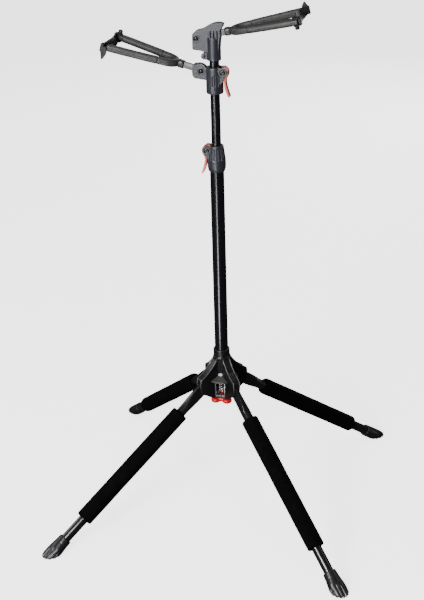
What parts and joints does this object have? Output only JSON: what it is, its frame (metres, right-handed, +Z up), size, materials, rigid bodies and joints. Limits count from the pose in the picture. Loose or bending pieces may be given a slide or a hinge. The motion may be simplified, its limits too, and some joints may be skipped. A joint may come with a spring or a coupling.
{
  "type": "guitar rack",
  "caption": "Free-standing hanging guitar rack with folding padded legs, a telescoping mast and height-staggered neck yokes.",
  "frame": {"origin": "on the floor, on the axis of the mast, at the centre of the four feet", "axes": "+Z up along the mast; the upper yoke points to +X and the lower yoke to -X; the front is -Y, and the legs lie at 45 degrees to X and Y"},
  "size_m": [0.6846, 0.6846, 1.1622],
  "materials": {
    "hub_black": "semi-gloss moulded black",
    "black_tube": "gloss black powder coat",
    "leg_tube": "gloss black",
    "foam": "matte closed-cell foam",
    "boot_rubber": "satin ribbed rubber",
    "head_plastic": "satin glass-filled nylon",
    "red_lever": "satin red",
    "red_knob": "gloss red",
    "bright_steel": "bright plated",
    "dark_fittings": "black oxide",
    "yoke_rubber": "matte dark grey overmould",
    "strap_rubber": "matte black elastomer",
    "arm_metal": "satin bare metal"
  },
  "bodies": {
    "stand": {"hub_body": "hub_black", "lock_cage": "bright_steel", "hub_base": "dark_fittings", "lock_spring": "bright_steel", "lower_tube": "black_tube", "guide_bush": "dark_fittings", "clutch_collar": "head_plastic", "clutch_pin": "dark_fittings", "base_screw_FR": "bright_steel", "base_screw_FL": "bright_steel", "base_screw_RR": "bright_steel", "base_screw_RL": "bright_steel", "pivot_pin_FR": "bright_steel", "pivot_pin_FL": "bright_steel", "pivot_pin_RR": "bright_steel", "pivot_pin_RL": "bright_steel"},
    "knob": {"release_knob": "red_knob", "lock_plunger": "bright_steel"},
    "clutch_lever": {"clutch_lever": "red_lever"},
    "mast_slider": {"tube_foot": "dark_fittings"},
    "mast": {"upper_tube": "black_tube", "upper_head": "head_plastic", "upper_arm_pin": "dark_fittings", "clamp_screw": "bright_steel", "clamp_nut": "bright_steel"},
    "head_slider": {"lower_sleeve": "dark_fittings"},
    "lower_head": {"lower_head": "head_plastic", "lower_lever_pin": "dark_fittings", "lower_arm_pin": "dark_fittings"},
    "lower_lever": {"lower_lever": "red_lever"},
    "leg_FR": {"leg_tube_FR": "leg_tube", "foam_sleeve_FR": "foam", "boot_FR": "boot_rubber"},
    "leg_FL": {"leg_tube_FL": "leg_tube", "foam_sleeve_FL": "foam", "boot_FL": "boot_rubber"},
    "leg_RR": {"leg_tube_RR": "leg_tube", "foam_sleeve_RR": "foam", "boot_RR": "boot_rubber"},
    "leg_RL": {"leg_tube_RL": "leg_tube", "foam_sleeve_RL": "foam", "boot_RL": "boot_rubber"},
    "lower_arm": {"lower_arm": "arm_metal", "lower_ferrule": "dark_fittings"},
    "lower_yoke": {"lower_yoke_frame": "yoke_rubber", "lower_pad_a": "yoke_rubber", "lower_pad_b": "yoke_rubber"},
    "lower_strap": {"lower_strap": "strap_rubber", "lower_peg": "strap_rubber"},
    "upper_arm": {"upper_arm": "arm_metal", "upper_ferrule": "dark_fittings"},
    "upper_yoke": {"upper_yoke_frame": "yoke_rubber", "upper_pad_a": "yoke_rubber", "upper_pad_b": "yoke_rubber"},
    "upper_strap": {"upper_strap": "strap_rubber", "upper_peg": "strap_rubber"}
  },
  "joints": [
    {"name": "leg_FR_fold", "type": "hinge", "parent": "stand", "child": "leg_FR", "pos_m": [0.02828, -0.02828, 0.3044], "axis": [0.7071, 0.7071, 0], "range_deg": [0, 46.5]},
    {"name": "leg_FL_fold", "type": "hinge", "parent": "stand", "child": "leg_FL", "pos_m": [-0.02828, -0.02828, 0.3044], "axis": [0.7071, -0.7071, 0], "range_deg": [0, 46.5]},
    {"name": "leg_RR_fold", "type": "hinge", "parent": "stand", "child": "leg_RR", "pos_m": [0.02828, 0.02828, 0.3044], "axis": [-0.7071, 0.7071, 0], "range_deg": [0, 46.5]},
    {"name": "leg_RL_fold", "type": "hinge", "parent": "stand", "child": "leg_RL", "pos_m": [-0.02828, 0.02828, 0.3044], "axis": [-0.7071, -0.7071, 0], "range_deg": [0, 46.5]},
    {"name": "release_knob_pull", "type": "slide", "parent": "stand", "child": "knob", "axis": [0, 0, -1], "range_m": [0, 0.008], "stiffness_N_per_m": 900, "springref_m": -0.006, "deforming": ["lock_spring"]},
    {"name": "clutch_lever_open", "type": "hinge", "parent": "stand", "child": "clutch_lever", "pos_m": [-0.0191, 0, 0.8525], "axis": [0, 1, 0], "range_deg": [0, 95]},
    {"name": "mast_slide", "type": "slide", "parent": "stand", "child": "mast_slider", "axis": [0, 0, -1], "range_m": [-0.075, 0.095]},
    {"name": "mast_swivel", "type": "hinge", "parent": "mast_slider", "child": "mast", "pos_m": [0, 0, 0.85], "axis": [0, 0, 1], "range_deg": [-180, 180]},
    {"name": "lower_head_slide", "type": "slide", "parent": "mast", "child": "head_slider", "axis": [0, 0, 1], "range_m": [-0.095, 0.005]},
    {"name": "lower_head_swivel", "type": "hinge", "parent": "head_slider", "child": "lower_head", "pos_m": [0, 0, 0.99], "axis": [0, 0, 1], "range_deg": [-180, 180]},
    {"name": "lower_lever_open", "type": "hinge", "parent": "lower_head", "child": "lower_lever", "pos_m": [0.0191, 0, 1.0193], "axis": [0, -1, 0], "range_deg": [0, 95]},
    {"name": "lower_arm_raise", "type": "hinge", "parent": "lower_head", "child": "lower_arm", "pos_m": [-0.0261, 0, 1.0206], "axis": [0, 1, 0], "range_deg": [0, 35]},
    {"name": "upper_arm_raise", "type": "hinge", "parent": "mast", "child": "upper_arm", "pos_m": [-0.0347, 0, 1.0874], "axis": [0, -1, 0], "range_deg": [0, 95]},
    {"name": "lower_yoke_roll", "type": "hinge", "parent": "lower_arm", "child": "lower_yoke", "pos_m": [-0.06946, 0, 1.03263], "axis": [-0.9636, 0, 0.2672], "range_deg": [-20, 20]},
    {"name": "lower_strap_open", "type": "hinge", "parent": "lower_yoke", "child": "lower_strap", "pos_m": [-0.2115, 0.03744, 1.07426], "axis": [-0.2668, 0.0576, -0.962], "range_deg": [0, 110]},
    {"name": "upper_yoke_roll", "type": "hinge", "parent": "upper_arm", "child": "upper_yoke", "pos_m": [0.03015, 0, 1.10213], "axis": [0.9751, 0, 0.2215], "range_deg": [-20, 20]},
    {"name": "upper_strap_open", "type": "hinge", "parent": "upper_yoke", "child": "upper_strap", "pos_m": [0.17495, -0.03744, 1.13282], "axis": [0.2212, 0.0576, -0.9735], "range_deg": [0, 110]}
  ]
}
